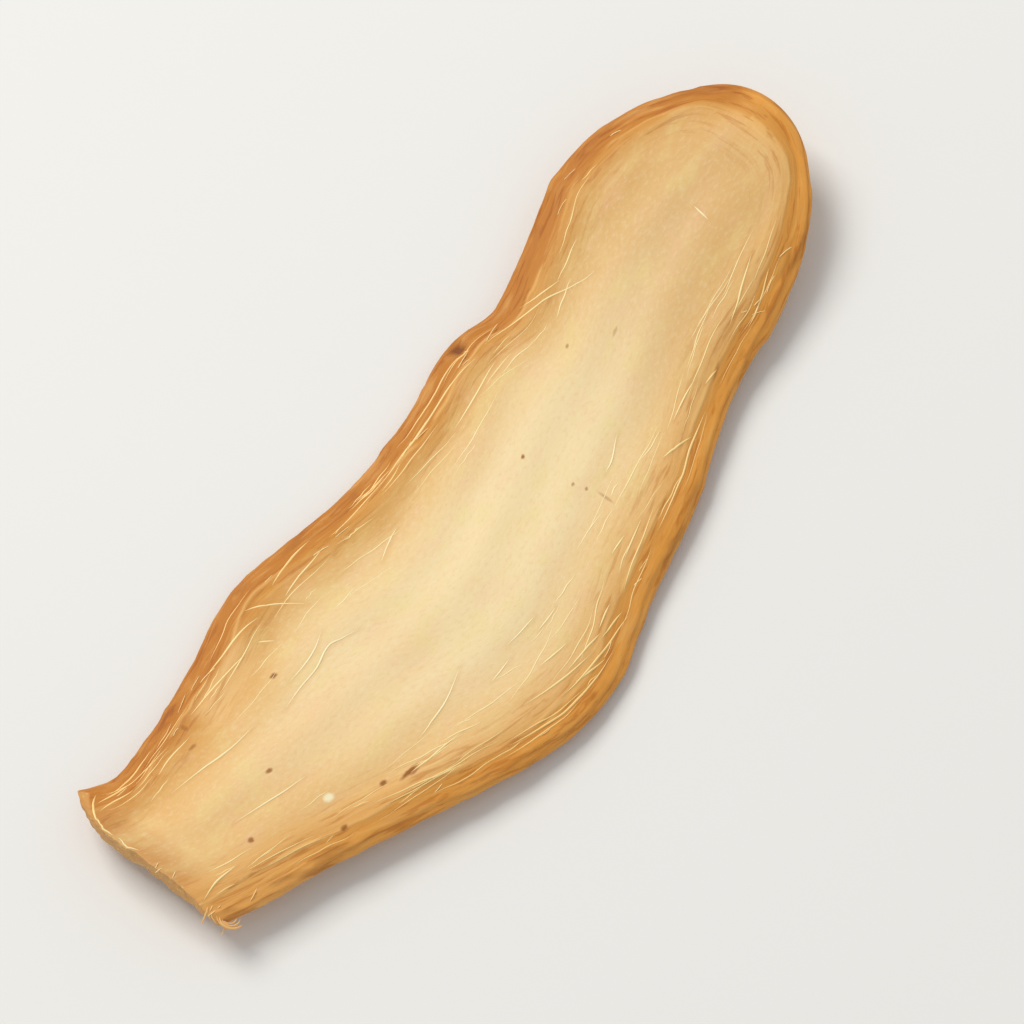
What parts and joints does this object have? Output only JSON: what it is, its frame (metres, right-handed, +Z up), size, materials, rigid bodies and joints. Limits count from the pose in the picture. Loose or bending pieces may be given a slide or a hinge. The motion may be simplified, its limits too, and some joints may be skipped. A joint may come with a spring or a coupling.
{
  "type": "solomons seal rhizome slice",
  "caption": "Dried lengthwise slice of a Solomon's seal rhizome: a flat, slightly warped piece with bark along its edges, one end cut square and one rounded.",
  "frame": {"origin": "middle of the slice's box, on the surface that it lies on", "axes": "+X along the grain from the square cut end to the rounded tip, +Y across the grain, +Z up"},
  "size_m": [0.059, 0.0214, 0.0047],
  "materials": {
    "dried_rhizome": "matt, mealy cream flesh that turns peach and then golden brown at the bark edges"
  },
  "bodies": {
    "root": {"rhizome_slice": "dried_rhizome"}
  },
  "joints": []
}
